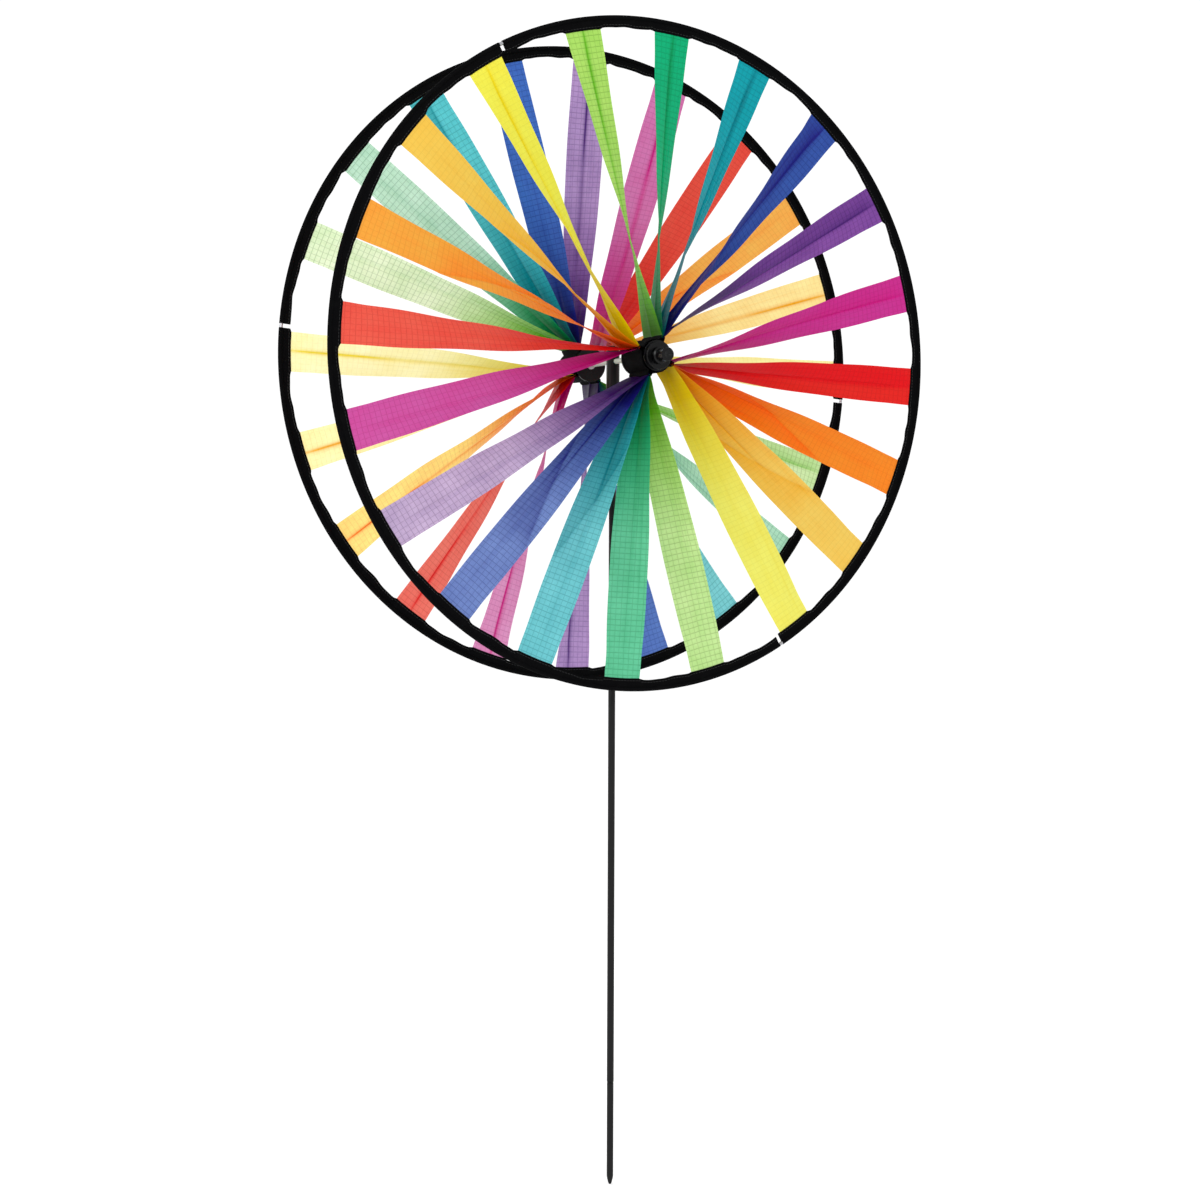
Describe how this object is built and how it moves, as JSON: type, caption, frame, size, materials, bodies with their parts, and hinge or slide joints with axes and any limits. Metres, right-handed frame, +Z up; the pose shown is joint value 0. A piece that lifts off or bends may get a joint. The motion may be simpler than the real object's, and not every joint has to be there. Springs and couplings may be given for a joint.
{
  "type": "wind spinner",
  "caption": "Garden wind spinner: fabric wheels of twisted rainbow ribbons turn in opposite directions on an axle across a ground pole.",
  "frame": {"origin": "point of the ground spike, at the bottom of the pole's axis", "axes": "+Z up along the pole, Y along the axle with the front wheel towards -Y, X across the wheels"},
  "size_m": [0.63, 0.22, 1.125],
  "materials": {
    "ripstop_yellow": "thin ripstop nylon, slightly see-through",
    "ripstop_gold": "thin ripstop nylon, slightly see-through",
    "ripstop_orange": "thin ripstop nylon, slightly see-through",
    "ripstop_red": "thin ripstop nylon, slightly see-through",
    "ripstop_magenta": "thin ripstop nylon, slightly see-through",
    "ripstop_purple": "thin ripstop nylon, slightly see-through",
    "ripstop_blue": "thin ripstop nylon, slightly see-through",
    "ripstop_cyan": "thin ripstop nylon, slightly see-through",
    "ripstop_green": "thin ripstop nylon, slightly see-through",
    "ripstop_lime": "thin ripstop nylon, slightly see-through",
    "hem_fabric": "black woven tape, folded and sewn",
    "hub_fabric": "black woven fabric",
    "hub_plastic": "semi-gloss black moulded plastic",
    "cap_plastic": "semi-gloss black plastic",
    "sleeve_plastic": "satin black plastic",
    "pole_fibreglass": "satin black fibreglass",
    "spacer_plastic": "satin grey-green plastic tube",
    "rod_fibreglass": "fibreglass rod",
    "ferrule_metal": "bright drawn tube",
    "steel": "drawn steel"
  },
  "bodies": {
    "stand": {"ground_spike": "pole_fibreglass", "pole_tube": "pole_fibreglass"},
    "head": {"head_sleeve": "sleeve_plastic", "axle_rod": "steel", "axle_spacers": "spacer_plastic", "axle_washers": "steel", "axle_end_caps": "cap_plastic"},
    "front_wheel": {"front_blade_01_yellow": "ripstop_yellow", "front_blade_02_gold": "ripstop_gold", "front_blade_03_orange": "ripstop_orange", "front_blade_04_red": "ripstop_red", "front_blade_05_magenta": "ripstop_magenta", "front_blade_06_purple": "ripstop_purple", "front_blade_07_blue": "ripstop_blue", "front_blade_08_cyan": "ripstop_cyan", "front_blade_09_green": "ripstop_green", "front_blade_10_lime": "ripstop_lime", "front_blade_11_yellow": "ripstop_yellow", "front_blade_12_gold": "ripstop_gold", "front_blade_13_orange": "ripstop_orange", "front_blade_14_red": "ripstop_red", "front_blade_15_magenta": "ripstop_magenta", "front_blade_16_purple": "ripstop_purple", "front_blade_17_blue": "ripstop_blue", "front_blade_18_cyan": "ripstop_cyan", "front_blade_19_green": "ripstop_green", "front_blade_20_lime": "ripstop_lime", "front_hub_band": "hub_fabric", "front_hub_cap": "hub_plastic", "front_hub_spool": "hub_plastic", "front_rim_ferrules": "ferrule_metal", "front_rim_hem": "hem_fabric", "front_rim_rods": "rod_fibreglass"},
    "rear_wheel": {"rear_blade_01_yellow": "ripstop_yellow", "rear_blade_02_gold": "ripstop_gold", "rear_blade_03_orange": "ripstop_orange", "rear_blade_04_red": "ripstop_red", "rear_blade_05_magenta": "ripstop_magenta", "rear_blade_06_purple": "ripstop_purple", "rear_blade_07_blue": "ripstop_blue", "rear_blade_08_cyan": "ripstop_cyan", "rear_blade_09_green": "ripstop_green", "rear_blade_10_lime": "ripstop_lime", "rear_blade_11_yellow": "ripstop_yellow", "rear_blade_12_gold": "ripstop_gold", "rear_blade_13_orange": "ripstop_orange", "rear_blade_14_red": "ripstop_red", "rear_blade_15_magenta": "ripstop_magenta", "rear_blade_16_purple": "ripstop_purple", "rear_blade_17_blue": "ripstop_blue", "rear_blade_18_cyan": "ripstop_cyan", "rear_blade_19_green": "ripstop_green", "rear_blade_20_lime": "ripstop_lime", "rear_hub_band": "hub_fabric", "rear_hub_cap": "hub_plastic", "rear_hub_spool": "hub_plastic", "rear_rim_ferrules": "ferrule_metal", "rear_rim_hem": "hem_fabric", "rear_rim_rods": "rod_fibreglass"}
  },
  "joints": [
    {"name": "head_turn", "type": "hinge", "parent": "stand", "child": "head", "pos_m": [0, 0, 0.81], "axis": [0, 0, 1], "continuous": true},
    {"name": "front_wheel_spin", "type": "hinge", "parent": "head", "child": "front_wheel", "pos_m": [0, -0.069, 0.81], "axis": [0, 1, 0], "continuous": true},
    {"name": "rear_wheel_spin", "type": "hinge", "parent": "head", "child": "rear_wheel", "pos_m": [0, 0.069, 0.81], "axis": [0, 1, 0], "continuous": true}
  ]
}
